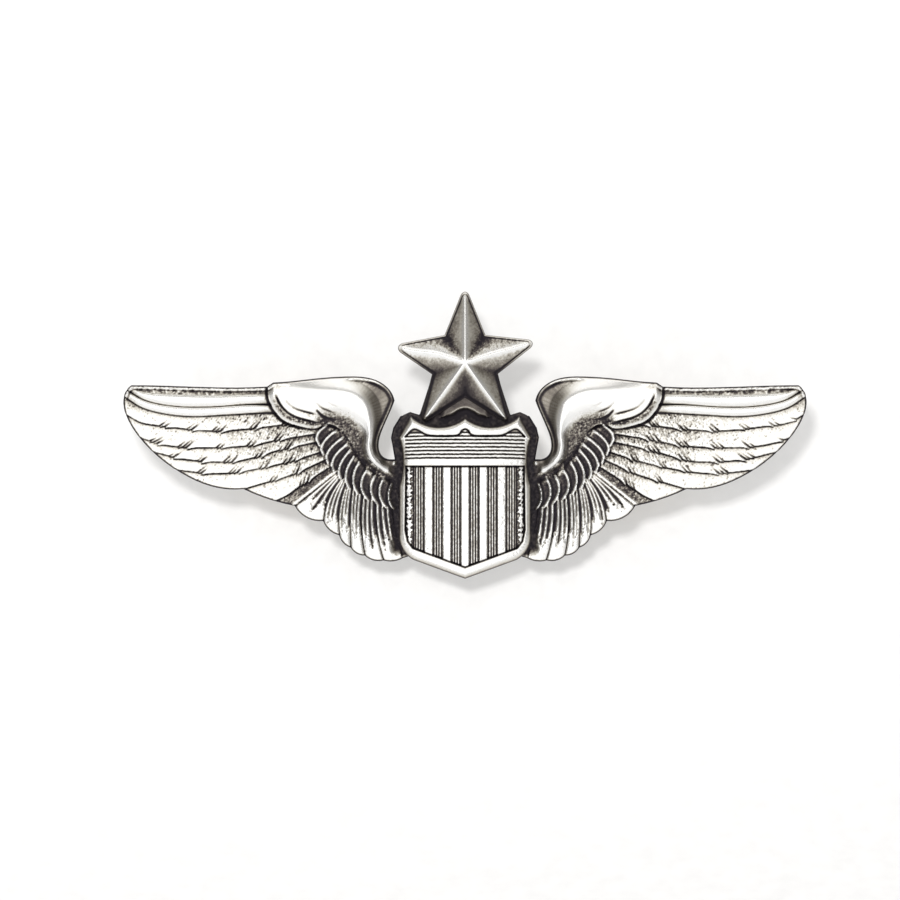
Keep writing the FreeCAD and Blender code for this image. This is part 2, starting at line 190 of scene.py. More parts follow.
def back_outline(node):
    """The loops round a CAD node's flat back, longest first, as (x, z) rows, and the back's own y."""
    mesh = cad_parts[node].data
    corners = np.empty(len(mesh.vertices) * 3)
    mesh.vertices.foreach_get("co", corners)
    corners = corners.reshape(-1, 3) / MM
    back = corners[:, 1].max()
    keys = [tuple(np.round(corner, 3)) for corner in corners]
    flat = []
    for face in mesh.polygons:
        if all(corners[v, 1] > back - 0.002 for v in face.vertices):
            flat.append([keys[v] for v in face.vertices])
    loops = [np.array([(x, z) for x, _, z in loop]) for loop in chained(border_edges(flat))]
    return sorted(loops, key=lambda loop: -np.ptp(loop, axis=0).sum()), back


# ---- relief to mesh

BACK_WEAR = 0.58      # how bright the flat back is rubbed, on the same scale as the relief's brightness from wear and painted shading
SEAT_WEAR = 0.3       # the same for the floor of a post's seat


def add_object(name, data):
    """A new object, linked into the scene."""
    made = bpy.data.objects.new(name, data)
    bpy.context.scene.collection.objects.link(made)
    return made


def smooth_mesh(name, points, faces, material, sharp=None):
    """A smoothly shaded mesh; edges that turn by more than sharp degrees stay sharp."""
    mesh = bpy.data.meshes.new(name)
    mesh.from_pydata(points, [], faces)
    mesh.validate()
    mesh.polygons.foreach_set("use_smooth", [True] * len(mesh.polygons))
    if sharp is not None:
        mesh.set_sharp_from_angle(angle=math.radians(sharp))
    mesh.materials.append(material)
    return mesh


class Shell:
    """Vertices and faces being collected for one closed mesh, with a brightness value on each vertex from
    polish and painted shading.
    """

    def __init__(self):
        self.points, self.polish_and_shading, self.faces = [], [], []

    def add(self, x, y, z, polish_and_shading):
        self.points.append((x * MM, y * MM, z * MM))
        self.polish_and_shading.append(polish_and_shading)
        return len(self.points) - 1

    def build(self, name, node, material):
        """Makes the piece that stands for this CAD node of the badge."""
        mesh = smooth_mesh(name, self.points, self.faces, material, 50)
        layer = mesh.attributes.new("polish_and_shading", "FLOAT", "POINT")
        layer.data.foreach_set("value", self.polish_and_shading)
        piece = add_object(name, mesh)
        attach(piece, "badge")
        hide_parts(node)


def clip_cells(inside):
    """Faces of the grid where inside > 0, cut along inside = 0, and the points they use.

    A point is a row (j0, i0, j1, i1, t): it lies the share t of the way between two grid points.
    """
    index = {}
    points = []

    def corner(j, i):
        key = (j, i)
        if key not in index:
            index[key] = len(points)
            points.append((j, i, j, i, 0.0))
        return index[key]

    def cut(a, b):
        key = (a, b) if a < b else (b, a)
        if key not in index:
            (j0, i0), (j1, i1) = key
            v0, v1 = inside[j0, i0], inside[j1, i1]
            index[key] = len(points)
            points.append((j0, i0, j1, i1, v0 / (v0 - v1)))
        return index[key]

    kept = inside > 0
    count = kept[:-1, :-1].astype(int) + kept[1:, :-1] + kept[:-1, 1:] + kept[1:, 1:]
    faces = []
    for j, i in zip(*np.nonzero(count)):
        ring = [(j, i), (j, i + 1), (j + 1, i + 1), (j + 1, i)]
        if count[j, i] == 4:
            faces.append([corner(*c) for c in ring])
            continue
        face = []
        for a, b in zip(ring, ring[1:] + ring[:1]):
            if kept[a]:
                face.append(corner(*a))
            if kept[a] != kept[b]:
                face.append(cut(a, b))
        faces.append(face)
    return np.array(points), faces


def border_edges(faces):
    """The open edges of a set of faces, each vertex to the next one round the border."""
    edges = set()
    for face in faces:
        for a, b in zip(face, face[1:] + face[:1]):
            if (b, a) in edges:
                edges.discard((b, a))
            else:
                edges.add((a, b))
    return dict(edges)


def chained(edges):
    """Closed loops of vertices from a vertex-to-next table."""
    edges = dict(edges)
    loops = []
    while edges:
        start, here = edges.popitem()
        loop = [start]
        while here != start:
            loop.append(here)
            here = edges.pop(here)
        loops.append(loop)
    return loops


def relief_shell(relief, inside, back, holes=(), mirror=False):
    """A closed shell: the relief in front, straight walls at its rim and a flat back with round seats."""
    grid, height, polish_and_shading = relief.grid, relief.height, relief.polish_and_shading()
    cuts, faces = clip_cells(inside)
    j0, i0, j1, i1 = cuts[:, :4].astype(int).T
    t = cuts[:, 4]
    x = mix(grid.xs[i0], grid.xs[i1], t)
    z = mix(grid.zs[j0], grid.zs[j1], t)
    h = mix(height[j0, i0], height[j1, i1], t)
    p = mix(polish_and_shading[j0, i0], polish_and_shading[j1, i1], t)
    sign = -1.0 if mirror else 1.0
    shell = Shell()
    for row in zip(sign * x, back - h, z, p):
        shell.add(*row)
    shell.faces = [face[::-1] for face in faces] if mirror else list(faces)
    loops = []
    for loop in chained(border_edges(shell.faces)):
        base = [shell.add(sign * x[v], back, z[v], BACK_WEAR) for v in loop]
        for n in range(len(loop)):
            m = (n + 1) % len(loop)
            shell.faces.append([loop[m], loop[n], base[n], base[m]])
        loops.append(base)
    for centre_x, centre_z, radius, depth in holes:
        loops.append(seat(shell, sign * centre_x, centre_z, radius, depth, back))
    close_back(shell, loops)
    return shell


def seat(shell, x, z, radius, depth, back, steps=64):
    """A round seat sunk into the flat back; returns its edge."""
    angles = [2 * math.pi * n / steps for n in range(steps)]
    circle = [(x + radius * math.cos(a), z + radius * math.sin(a)) for a in angles]
    edge = [shell.add(px, back, pz, BACK_WEAR) for px, pz in circle]
    floor = [shell.add(px, back - depth, pz, SEAT_WEAR) for px, pz in circle]
    for n in range(steps):
        m = (n + 1) % steps
        shell.faces.append([edge[n], edge[m], floor[m], floor[n]])
    shell.faces.append(floor[::-1])
    return edge


def close_back(shell, loops):
    """Fills the flat back between its outer edge and the seats, facing +Y."""
    flat = [[Vector((shell.points[v][0], shell.points[v][2], 0.0)) for v in loop] for loop in loops]
    every = [v for loop in loops for v in loop]
    for corners in tessellate_polygon(flat):
        triangle = [every[n] for n in corners]
        a, b, c = (shell.points[v] for v in triangle)
        turn = (b[0] - a[0]) * (c[2] - a[2]) - (b[2] - a[2]) * (c[0] - a[0])
        shell.faces.append(triangle if turn < 0 else triangle[::-1])


def rounded_edge(height, inside, radius):
    """The relief with its front edge rolled over to a quarter round."""
    near = np.clip(inside, 0.0, radius)
    return height - (radius - np.sqrt(radius ** 2 - (radius - near) ** 2))


# ---- relief: heights and wear together

class Relief:
    """Heights above the back, and how bright the metal looks, from 0 (black oxide) to 1: rubbed by wear,
    dark with oxide, and in places lighter or darker by painted light and shade.
    """

    def __init__(self, grid, height, wear_and_shading):
        self.grid = grid
        self.height = np.zeros(grid.X.shape) + height
        self.wear_and_shading = np.zeros(grid.X.shape) + wear_and_shading

    def lay(self, height, wear_and_shading, cover):
        """Lays a surface over what is there; cover is 1 where it hides it."""
        self.height = mix(self.height, height, cover)
        self.wear_and_shading = mix(self.wear_and_shading, wear_and_shading, cover)

    def mark(self, share, height, wear_and_shading):
        """A groove (minus) or a thread (plus) of this height, and this change of brightness from wear or
        painted shade.
        """
        self.height = self.height + share * height
        self.wear_and_shading = self.wear_and_shading + share * wear_and_shading

    def polish_and_shading(self):
        """Brightness from wear and painted shading, with sharp high spots rubbed brighter and the corners
        below them kept dark.
        """
        fine = self.height - blur(self.height, 0.16 / self.grid.step)
        return np.clip(blur(self.wear_and_shading + 1.6 * fine, 0.45), 0.0, 1.0)


# ---- wings: levels above the back

BASE = 1.0            # bare plate beside the shield
FLIGHT = 1.36
UNDER = 1.16          # the dark layer between flights and secondaries
SECONDARY = 1.40
COVERT = 1.30
BAND = 1.58
SHOULDER = 1.72
SEAM = 7.05           # where a wing's mesh meets the middle's, under the side of the shield

# Lower edges of the two bands and the flight feathers, root to tip, x away from the middle.
BAND_RIM = ((21.4, 6.5), (27.4, 6.25), (32.5, 6.35), (36.0, 6.6), (37.9, 7.4))
BAND_SPLIT = ((21.6, 5.15), (24.7, 5.15), (28.6, 4.9), (32.5, 4.95), (35.8, 5.55), (38.0, 6.75))
FLIGHT_LINES = (
    ((20.4, 4.1), (22.3, 4.2), (26.6, 4.0), (30.6, 3.8), (33.8, 4.1), (36.4, 4.8), (38.3, 6.0)),
    ((16.9, 2.9), (20.1, 2.9), (24.6, 2.4), (28.9, 2.2), (33.8, 2.7), (36.4, 3.1), (38.1, 4.0)),
    ((17.1, 1.8), (20.9, 1.2), (24.7, 0.5), (29.9, 0.3), (33.8, 0.6), (36.8, 1.5)),
    ((16.9, 0.9), (21.0, 0.0), (23.4, -0.7), (26.5, -1.3), (31.2, -1.05), (35.4, -0.1)),
    ((16.3, -0.2), (19.9, -1.3), (24.0, -2.2), (27.3, -2.6), (29.9, -2.5), (32.4, -2.2)),
    ((15.8, -1.1), (19.5, -2.75), (22.7, -3.7), (25.4, -4.5)),
    ((15.4, -2.0), (18.6, -4.05), (20.1, -5.1), (21.9, -5.9)),
)
# Edges between the secondaries: root, bend, tip.
SECONDARY_LINES = (
    ((14.9, -2.9), (17.2, -4.7), (19.2, -6.3)),
    ((14.3, -3.6), (15.8, -5.6), (16.0, -8.0)),
    ((13.6, -4.3), (14.5, -6.8), (14.2, -9.6)),
    ((12.8, -5.0), (13.1, -8.0), (12.9, -11.0)),
    ((11.6, -5.6), (12.0, -8.8), (11.3, -11.9)),
    ((10.1, -6.2), (10.2, -9.5), (9.2, -12.45)),
    ((8.2, -6.8), (7.9, -9.7), (7.0, -12.2)),
)
# Rims of the coverts: where each leaves the shoulder, its widest point and its end on the feathers.
COVERT_RIMS = (
    ((15.2, 3.1), (16.7, 1.8), (16.3, 0.3)),
    ((14.3, 2.4), (16.1, 0.8), (15.9, -0.7)),
    ((13.6, 1.6), (15.5, -0.1), (15.4, -1.6)),
    ((13.1, 0.9), (14.9, -0.9), (14.8, -2.5)),
    ((12.8, 0.2), (14.2, -1.7), (14.0, -3.4)),
    ((12.4, -0.5), (13.5, -2.5), (13.1, -4.4)),
    ((11.8, -1.1), (12.7, -3.1), (12.1, -5.1)),
    ((11.0, -2.0), (11.8, -3.9), (11.0, -5.7)),
    ((10.0, -2.5), (10.7, -4.4), (9.9, -6.2)),
    ((9.1, -2.9), (9.75, -4.8), (8.9, -6.6)),
    ((8.2, -3.5), (8.7, -5.3), (8.0, -6.8)),
)
SHOULDER_EDGE = (
    (21.9, 8.6), (22.2, 7.2), (22.05, 5.6), (21.3, 4.2), (20.3, 3.25), (18.6, 2.65), (16.9, 2.4),
    (15.3, 2.9), (14.0, 2.2), (12.9, 0.9), (12.2, -0.5), (11.2, -1.7), (9.8, -2.7), (8.0, -3.5),
    (6.0, -3.9),
)
SHOULDER_FOLDS = (((21.5, 6.6), (20.6, 4.9), (19.2, 3.8), (16.8, 3.1)),
                  ((20.5, 5.9), (19.2, 4.75), (16.9, 4.05)))
SHOULDER_HAIRS = (((16.9, 5.4), (16.0, 4.7), (14.4, 4.1)),
                  ((16.8, 4.6), (15.9, 3.75), (14.4, 3.3)),
                  ((15.6, 5.5), (14.9, 5.05), (14.0, 4.8)))
# The line of the rounded back of the shoulder, which narrows to a ridge and turns down to the shield.
SPINE = ((21.0, 6.2), (17.0, 6.3), (13.6, 6.2), (11.7, 5.2), (10.95, 3.6), (10.75, 2.0), (10.85, 0.5),
         (10.5, -0.8), (9.7, -1.7), (8.9, -2.2))
HOLLOW = ((15.6, 3.5), (13.6, 2.9), (12.2, 1.3), (11.7, -0.4), (10.7, -1.9), (9.2, -3.0), (7.5, -3.6))


def nicked(rng, length):
    """Where a flight feather's vane has split: position, depth, strength and the length of its lobe."""
    last = length - 2.4
    places = []
    at = rng.uniform(1.2, 2.6)
    while at < last:
        run = rng.uniform(1.0, 1.6)
        for _ in range(rng.integers(2, 4)):
            at += run
            if at < last:
                places.append((at, rng.uniform(0.55, 1.15), rng.uniform(0.65, 1.2), run))
            run = rng.uniform(0.38, 0.62)
        at += rng.uniform(0.9, 2.2)
    return places


def flight_feather(relief, edge, other, along, length, rng, grain, pits, speck):
    """A flight feather whose lower edge falls into small lapped lobes at each nick."""
    places = nicked(rng, length)
    bulge = np.zeros_like(edge)
    for at, _, strength, run in places:
        lobe = np.clip((along - (at - run)) / run, 0.0, 1.0) * (along < at)
        bulge = np.maximum(bulge, 0.30 * strength * min(run, 0.9) * lobe ** 2)
    shifted = edge + bulge
    slant, foot = 1.05, 0.32
    cuts, lift = np.zeros_like(edge), np.zeros_like(edge)
    for at, depth, strength, run in places:
        up = edge + foot
        across = (along - at + slant * (up - foot)) / math.hypot(1.0, slant)
        taper = smooth(depth + foot, foot * 0.6, up) * smooth(-0.1, 0.05, up)
        half_width = mix(0.125, 0.06, np.clip(up / (depth + foot), 0, 1))
        cuts = np.maximum(cuts, strength * taper * bell(across, half_width))
        lift = np.maximum(lift, strength * taper * np.exp(np.minimum(across, 0.0) / 0.28) * (across < 0.0))
    root = smooth(0.72, 0.12, along / length)
    drift = along / 1.7 + 3 * depth_of(edge, other) + rng.uniform(0, 6)
    patchy = np.clip(0.5 + 0.6 * np.sin(drift), 0.0, 1.0)
    hatch = np.cos(2 * np.pi * (along + 0.8 * edge) / 0.36 + 0.7 * grain) * mix(patchy, 1.0, root)
    height = FLIGHT - 0.14 + 0.24 * np.exp(-np.maximum(shifted, 0.0) / 0.85) + 0.06 * lift - 0.16 * cuts
    height += root * (0.016 * hatch + 0.02 * grain) - 0.05 * pits * mix(0.25, 1.0, root) + 0.004 * grain
    height -= 0.06 * (1 - smooth(0.0, 0.18, shifted))
    ridge = np.exp(-np.maximum(shifted, 0.0) / 0.35)
    # Painted shade: each feather is darker just under the lapped edge of the feather above it.
    wear_and_shading = 0.93 - (0.11 + root * (0.13 + 0.11 * grain)) * (1 - ridge) - 0.18 * bell(other, 0.45)
    wear_and_shading += (mix(0.045, 0.06, root) * hatch + mix(0.03, 0.10, root) * speck) * (1 - 0.7 * ridge)
    wear_and_shading -= 0.55 * pits * mix(0.5, 1.0, root)
    wear_and_shading += 0.1 * lift - 0.95 * np.minimum(cuts, 1.0)
    wear_and_shading -= 0.20 * np.exp(-np.maximum(0.0, along - 0.2) / 1.2)
    uneven = 0.78 + 0.22 * np.sin(along / 1.3 + rng.uniform(0, 6)) - 0.25 * np.clip(grain, 0, 1)
    relief.mark(bell(shifted + 0.05, 0.075) * uneven, -0.13, -0.92)
    relief.lay(height, wear_and_shading, smooth(-SOFT, SOFT, shifted))


def depth_of(edge, other):
    """How far up a feather a point lies, 0 at its lower edge and 1 under the next feather's edge."""
    return np.clip(edge / np.maximum(edge + other, 0.3), 0.0, 1.0)


def secondary_feather(relief, edge, other, along, length, rng, grain, pits, speck):
    """A secondary: thin bright ridges over dark grooves from its root, then a smooth rounded tip."""
    width = np.maximum(edge + other, 0.25)
    share = edge / width
    run = along / length
    ends = 0.53 + rng.uniform(-0.025, 0.04) + 0.075 * np.cos(2 * np.pi * (1.7 * share + rng.uniform(0, 1)))
    ends += 0.03 * grain + 0.016 * np.cos(2 * np.pi * 7 * share)
    ribbed = smooth(ends + 0.05, ends - 0.05, run)
    # The threads swell towards the tip until the dark grooves between them close.
    swell = mix(1.0, 1.9, smooth(ends - 0.24, ends + 0.04, run))
    threads = np.zeros_like(edge)
    for place, half in ((0.88, 0.16), (0.56, 0.13), (0.26, 0.12)):
        threads = np.maximum(threads, bell((share - place) * width, half * swell))
    rounded = 1 - (2 * np.clip(share, 0, 1) - 1) ** 2
    height = mix(SECONDARY + 0.13 * rounded - 0.04, UNDER + 0.06 + 0.15 * threads, ribbed)
    wear_and_shading = mix(0.92 - 0.25 * pits, 0.08 + 1.0 * threads + 0.06 * speck, ribbed)
    relief.mark(bell(edge + 0.06, 0.08), -0.12, -0.7)
    relief.lay(height, wear_and_shading, smooth(-SOFT, SOFT, edge))
    relief.mark(bell(other, 0.07) * smooth(0.6, 0.75, run), -0.06, -0.5)


def under_feather(relief, edge, along, length, speck):
    """The dark speckled layer between the flight feathers and the secondaries, with a ridge below it."""
    tip = smooth(0.55, 0.92, along / length)
    ridge = bell(edge - 0.20, 0.21)
    relief.mark(bell(edge + 0.06, 0.08), -0.10, -0.6)
    wear_and_shading = 0.33 + 0.14 * tip + 0.15 * speck + 0.60 * ridge
    relief.lay(UNDER + 0.12 * ridge + 0.08 * tip, wear_and_shading, smooth(-SOFT, SOFT, edge))


def feathers(relief, rng, grain, pits, speck):
    """All feathers, the innermost first and each outer one lapped over it. Returns the top line's trace."""
    grid = relief.grid
    lines = [longer(curve(p), after=LINES_END) for p in FLIGHT_LINES]
    lines += [longer(bent(*p), before=0.9, after=LINES_END) for p in SECONDARY_LINES]
    traces = [grid.trace(p) for p in lines]
    flights = len(FLIGHT_LINES) - 1
    for k in range(len(lines) - 2, -1, -1):
        upper, (edge, along, length) = traces[k][0], traces[k + 1]
        if k < flights:
            flight_feather(relief, edge, -upper, along, length, rng, grain, pits, speck)
        elif k == flights:
            under_feather(relief, edge, along, length, speck)
        else:
            secondary_feather(relief, edge, -upper, along, length, rng, grain, pits, speck)
    return traces[0]


def bands(relief, top_line, grain, pits):
    """The two smooth bands under the leading edge and the stippled strip above them."""
    lower, _, _ = top_line
    split, along, _ = relief.grid.trace(longer(curve(BAND_SPLIT), after=LINES_END))
    rim, _, _ = relief.grid.trace(longer(curve(BAND_RIM), after=LINES_END))
    # Painted shade: near the shoulder the bands and their seam lines are darker, and each band is darker at
    # its rounded sides.
    shaded, junction_shade = smooth(5.5, 0.4, along), smooth(2.2, 0.2, along)
    for edge, other, level in ((lower, -split, BAND - 0.08), (split, -rim, BAND)):
        crown = 1 - (2 * depth_of(edge, other) - 1) ** 2
        relief.mark(bell(edge + 0.05, 0.060), -0.08, mix(-0.42, -0.66, shaded))
        side = (1 - crown) ** 1.5
        height = level - 0.14 + 0.24 * crown - 0.08 * shaded * (1 - crown)
        # Painted shade at the band's sides and next to the shoulder, besides the darker pits.
        wear_and_shading = 0.93 - 0.12 * pits - 0.14 * side - 0.28 * shaded * side - 0.28 * junction_shade
        relief.lay(height, wear_and_shading, smooth(-SOFT, SOFT, edge))
    relief.lay(BAND - 0.12 + 0.03 * grain, 0.70 + 0.10 * grain - 0.32 * pits, smooth(-0.35, 0.25, rim))


def shoulder(relief, rim, pits, speck):
    """The broad smooth shoulder with its folds and hairs, and the stippled hollow beside the coverts."""
    grid = relief.grid
    x, z = grid.X, grid.Z
    edge, _, _ = grid.trace(curve(SHOULDER_EDGE))
    depth = -edge
    outer = smooth(2.0, 2.8, z)
    relief.mark(bell(edge - 0.13, 0.16) * outer, -0.25, -0.9)
    body = SHOULDER - 0.28 * (1 - smooth(0.0, 0.8, depth)) ** 1.5
    cover = smooth(-0.05, 0.05, depth) * mix(smooth(-0.4, 0.5, depth), 1.0, outer)
    relief.lay(body, 0.92 - 0.12 * pits, cover)
    # Painted shade, speckled, in a shallow trough just inside the lower part of the shoulder's edge.
    lower_curve = smooth(6.4, 4.6, z) * outer * smooth(15.3, 16.3, x)
    relief.mark(bell(depth - 0.55, 0.24) * lower_curve, -0.05, -0.40 + 0.16 * speck)
    # Painted shade, speckled, in a band under the shoulder's top rim.
    upper_rim = smooth(0.0, 0.1, depth) * bell(rim - 0.45, 0.45) * smooth(6.0, 6.6, z)
    relief.mark(upper_rim, -0.04, -0.26 + 0.07 * speck)
    for path in SHOULDER_FOLDS:
        side, along, length = grid.trace(curve(path), 1.3)
        ends = smooth(0.0, 1.2, along) * smooth(length + 0.3, length - 0.6, along)
        step = np.exp(-np.maximum(side, 0) / 0.40) * (side > 0)
        relief.mark(ends * bell(side, 0.11), -0.17, -1.0)
        # Painted shade in a shallow dip beside each fold.
        relief.mark(ends * step, -0.08, -0.42 + 0.12 * speck)
        relief.mark(ends * bell(side + 0.22, 0.12), 0.05, 0.10)
    for path in SHOULDER_HAIRS:
        side, along, length = grid.trace(curve(path), 0.9)
        ends = smooth(0.0, 0.25, along) * smooth(length, length - 1.6, along)
        relief.mark(ends * bell(side, 0.12), -0.16, -1.2)
        relief.mark(ends * bell(side + 0.20, 0.10), 0.08, 0.10)
    hollow, _, _ = grid.trace(curve(HOLLOW), 3.0)
    dark = bell(hollow, 1.15)
    relief.mark(dark * smooth(-0.9, 0.4, depth), -0.42, -0.58)
    relief.mark(np.sqrt(dark), 0.012 * speck, 0.13 * speck)
    spine(relief, depth)


def spine(relief, depth):
    """The rounded back of the shoulder, which becomes the ridge down to the shield."""
    side, along, length = relief.grid.trace(curve(SPINE))
    outward = side > 0
    low = smooth(9.5, 13.5, along)
    foot = smooth(length + 0.3, length - 1.6, along)
    crest = mix(SHOULDER + 0.05, 2.38, smooth(0.0, 9.0, along)) * mix(0.66, 1.0, foot)
    width = np.where(outward, mix(2.9, 0.85, low), mix(1.9, 1.35, low)) * mix(0.6, 1.0, foot)
    t = np.clip(np.abs(side) / width, 0.0, 1.0)
    dome = mix(1 - t ** 2, 0.5 + 0.5 * np.cos(math.pi * t), mix(0.4, 1.0, low))
    base = np.where(outward, relief.height, 1.22)
    within = smooth(-0.1, 0.4, depth + 0.9)
    cover = within * smooth(0.0, 1.5, along)
    relief.height = mix(relief.height, np.maximum(base, base + (crest - base) * dome), cover)
    streaks = 0.03 * np.cos(2 * np.pi * along / 0.27) * smooth(0.3, 0.6, t)
    neck = smooth(7.6, 10.2, along)
    bright = mix(0.93, mix(0.86, 0.48 + streaks, neck), smooth(0.12, 0.62, t))
    dull = mix(0.93, relief.wear_and_shading, smooth(mix(0.2, 0.30, low), 1.0, t))
    relief.wear_and_shading = mix(relief.wear_and_shading, np.where(outward, dull, bright), cover)


def coverts(relief, speck):
    """Eleven scale-like coverts in a cascade: each a thin bright rim round a dark hollow."""
    for rim in COVERT_RIMS:
        side, along, length = relief.grid.trace(through(*rim), 2.2)
        inner = -side
        ends = smooth(0.0, 0.5, along) * smooth(length, length - 0.15, along)
        reach = smooth(-0.04, 0.04, inner) * smooth(1.25, 0.75, inner) * (along < length - 1e-6)
        relief.mark(bell(side - 0.12, 0.10) * ends, -0.10, -0.55)
        height = COVERT - 0.08 * smooth(0.1, 0.45, inner) + 0.01 * speck
        wear_and_shading = 0.14 + 0.14 * smooth(0.3, 0.9, inner) + 0.07 * speck
        relief.lay(height, wear_and_shading, reach * smooth(0.0, 0.9, along))
        relief.mark(bell(inner - 0.07, 0.145) * ends, 0.11, 1.20)


def wing_relief(grid, rim, seed):
    """One wing, drawn as the wing on the viewer's right. rim is the distance in from its outline."""
    rng = np.random.default_rng(seed)
    x, z = grid.X, grid.Z
    grain = grid.grain(rng, 0.17)
    pits = smooth(1.15, 2.1, grid.grain(rng, 0.11))
    speck = grid.grain(rng, 0.08)
    relief = Relief(grid, BASE + 0.1, 0.12)
    top_line = feathers(relief, rng, grain, pits, speck)
    bands(relief, top_line, grain, pits)
    shoulder(relief, rim, pits, speck)
    coverts(relief, speck)
    # A fine bright rim runs along the leading edge, with a shaded line under it.
    over_bands = smooth(21.4, 22.0, x)
    over_neck = smooth(14.0, 12.0, x) * smooth(9.0, 10.0, x)
    leading = smooth(5.4, 6.4, z) * (over_bands + over_neck)
    under_rim = np.maximum(rim - 0.48, 0.0)
    relief.mark(leading * bell(rim - 0.27, 0.11), 0.10, 0.25)
    relief.mark(leading * bell(rim - 0.48, 0.09), -0.05, -0.25)
    relief.mark(leading * smooth(0.40, 0.50, rim) * np.exp(-under_rim / 0.45), -0.03, -0.26 + 0.08 * speck)
    # Painted shade, speckled, over the tip of the wing.
    tip = smooth(35.0, 38.0, x) * smooth(3.5, 5.5, z)
    relief.mark(tip, 0.0, -0.16 + 0.06 * speck)
    neck = smooth(11.2, 10.2, x) * smooth(-1.0, 0.0, z)
    relief.mark(neck * bell(rim - 0.14, 0.10), 0.10, 0.35)
    relief.mark(neck * bell(rim - 0.45, 0.18), -0.06, -0.35)
    # Bare dark plate between the wing and the shield, with a small bead at the foot of the notch.
    beside = smooth(8.7, 7.6, x) * smooth(-12.3, -10.8, z)
    relief.lay(BASE + 0.02 * grain, 0.13 + 0.05 * grain, beside)
    relief.mark(bell(np.hypot(x - 7.95, z + 1.5), 0.2), 0.25, 1.0)
    # Painted shade: a dark line along the rounded edge all round the wing.
    relief.wear_and_shading = relief.wear_and_shading - 0.9 * smooth(0.25, 0.05, rim)
    relief.height = rounded_edge(relief.height, rim, 0.28)
    return relief


def build_wings(material, outline, seat_radius, seat_depth, post_x):
    """Both wings: one drawing mirrored, with its own random nicks and speckle on each side."""
    low, high = outline.min(axis=0), outline.max(axis=0)
    step = 0.08
    grid = Grid((SEAM - 2 * step, low[1] - 2 * step), (high[0] + 2 * step, 8.7), step)
    rim = grid.inside(outline)
    inside = np.minimum(rim, grid.X - SEAM)
    for name, seed, mirror in (("left_wing_relief", 11, True), ("right_wing_relief", 23, False)):
        relief = wing_relief(grid, rim, seed)
        shell = relief_shell(relief, inside, 0.0, [(post_x, 0.0, seat_radius, seat_depth)], mirror)
        shell.build(name, "wings_plate", material)


# ---- middle plate behind the shield and star

WEB_ARCH = ((-2.2, 3.8), (-1.5, 4.05), (-0.8, 4.5), (0.0, 4.72), (0.8, 4.5), (1.5, 4.05), (2.2, 3.8))


def middle_relief(grid, rim):
    """The dark flange round the shield, and the tongue with its little arch between the star's legs."""
    grain = grid.grain(np.random.default_rng(5), 0.2)
    relief = Relief(grid, BASE + 0.015 * grain, 0.16 + 0.05 * grain)
    arch, along, length = grid.trace(curve(WEB_ARCH), 3.0)
    relief.lay(BASE + 0.25, 0.35 + 0.01 * grain, smooth(-0.1, 0.1, arch) * smooth(3.0, 2.2, np.abs(grid.X)))
    fade = smooth(0.0, 1.0, along) * smooth(length, length - 1.0, along)
    relief.mark(bell(arch, 0.15) * fade, 0.06, 0.35)
    # Painted shadow below the arch line, over a shallow groove.
    relief.mark(bell(arch + 0.40, 0.30), -0.12, -0.30)
    relief.mark(bell(rim - 0.22, 0.12) * smooth(3.4, 2.8, grid.Z), 0.05, 0.35)
    relief.height = rounded_edge(relief.height, rim, 0.25)
    return relief


def build_middle(material, outline):
    """The part of the wings plate between the two seams."""
    low, high = outline.min(axis=0), outline.max(axis=0)
    grid = grid_over((-SEAM, low[1]), (SEAM, high[1]), 0.11)
    rim = grid.inside(outline)
    inside = np.minimum(rim, SEAM - np.abs(grid.X))
    shell = relief_shell(middle_relief(grid, rim), inside, 0.0)
    shell.build("middle_plate_relief", "wings_plate", material)


# ---- shield

SHIELD_DOME = 32.0       # radius of the shield's sideways curve
SHIELD_RIM = 2.1
SHIELD_FIELD = 1.70
STRIPE_TOP = 2.0
STRIPE_PITCH = 2.05
STRIPE_HALF = 0.44
THREAD_PITCH = 0.29
FIELD = ((-6.7, -1.75), (6.7, -1.75), (6.8, -9.0), (6.5, -10.3), (5.9, -11.1), (0.0, -13.25), (-5.9, -11.1),
         (-6.5, -10.3), (-6.8, -9.0))
CHIEF_TOP = 1.58
CHIEF_PITCH = 0.41
CHIEF_LINES = 7
STRIPE_PAIRS = 3         # raised stripes on each side of the middle one
SWAG_HALF = (
    (0.0, 2.4), (0.4, 2.22), (0.66, 1.85), (1.2, 1.66), (2.6, 1.62), (4.2, 1.74), (5.7, 2.4), (6.75, 1.55),
)


